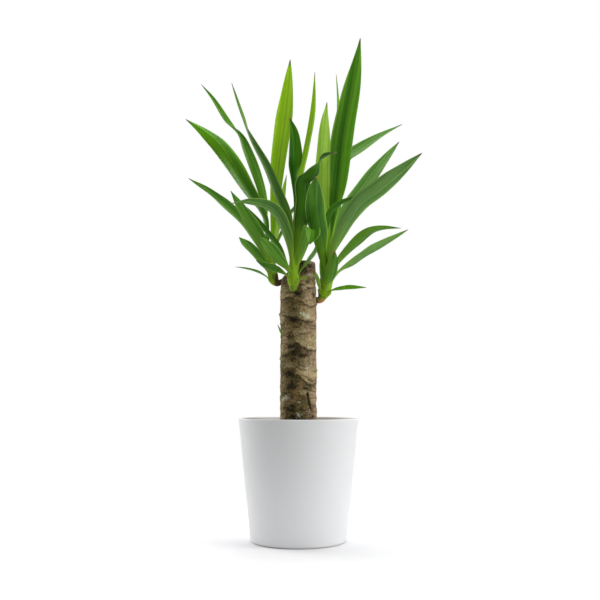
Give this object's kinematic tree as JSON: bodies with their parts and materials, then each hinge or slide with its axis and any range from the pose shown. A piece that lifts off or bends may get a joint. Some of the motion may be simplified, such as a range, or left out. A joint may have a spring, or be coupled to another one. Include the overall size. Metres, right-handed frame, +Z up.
{
  "type": "potted yucca",
  "caption": "Indoor yucca with a sawn woody cane and heads of long sword-shaped leaves, standing in a plain tapered round pot.",
  "frame": {"origin": "middle of the pot's foot, on the surface it stands on", "axes": "+Z up along the pot's axis, -Y towards the front, where the front leaf head grows, +X to the right seen from the front"},
  "size_m": [0.3861, 0.2347, 0.8402],
  "materials": {
    "pot": "smooth matte white glaze",
    "soil": "matte, loose dark potting soil of peat and bark crumbs",
    "cane": "rough grey-brown bark with leaf scars and a dark sawn top",
    "shoot": "smooth yellow-green young stem",
    "leaf": "leathery green leaf with a soft waxy sheen, fine length-wise veins and pale margins"
  },
  "bodies": {
    "root": {"cane": "cane", "cane_sprout": "leaf", "front_leaf_01": "leaf", "front_leaf_02": "leaf", "front_leaf_03": "leaf", "front_leaf_04": "leaf", "front_leaf_05": "leaf", "front_leaf_06": "leaf", "front_leaf_07": "leaf", "front_leaf_08": "leaf", "front_leaf_09": "leaf", "front_leaf_10": "leaf", "front_leaf_11": "leaf", "front_shoot": "shoot", "left_leaf_01": "leaf", "left_leaf_02": "leaf", "left_leaf_03": "leaf", "left_leaf_04": "leaf", "left_leaf_05": "leaf", "left_leaf_06": "leaf", "left_leaf_07": "leaf", "left_leaf_08": "leaf", "left_leaf_09": "leaf", "left_shoot": "shoot", "pot": "pot", "right_leaf_01": "leaf", "right_leaf_02": "leaf", "right_leaf_03": "leaf", "right_leaf_04": "leaf", "right_leaf_05": "leaf", "right_leaf_06": "leaf", "right_leaf_07": "leaf", "right_leaf_08": "leaf", "right_leaf_09": "leaf", "right_leaf_10": "leaf", "right_leaf_11": "leaf", "right_leaf_12": "leaf", "right_leaf_13": "leaf", "right_leaf_14": "leaf", "right_shoot": "shoot", "soil": "soil"}
  },
  "joints": []
}
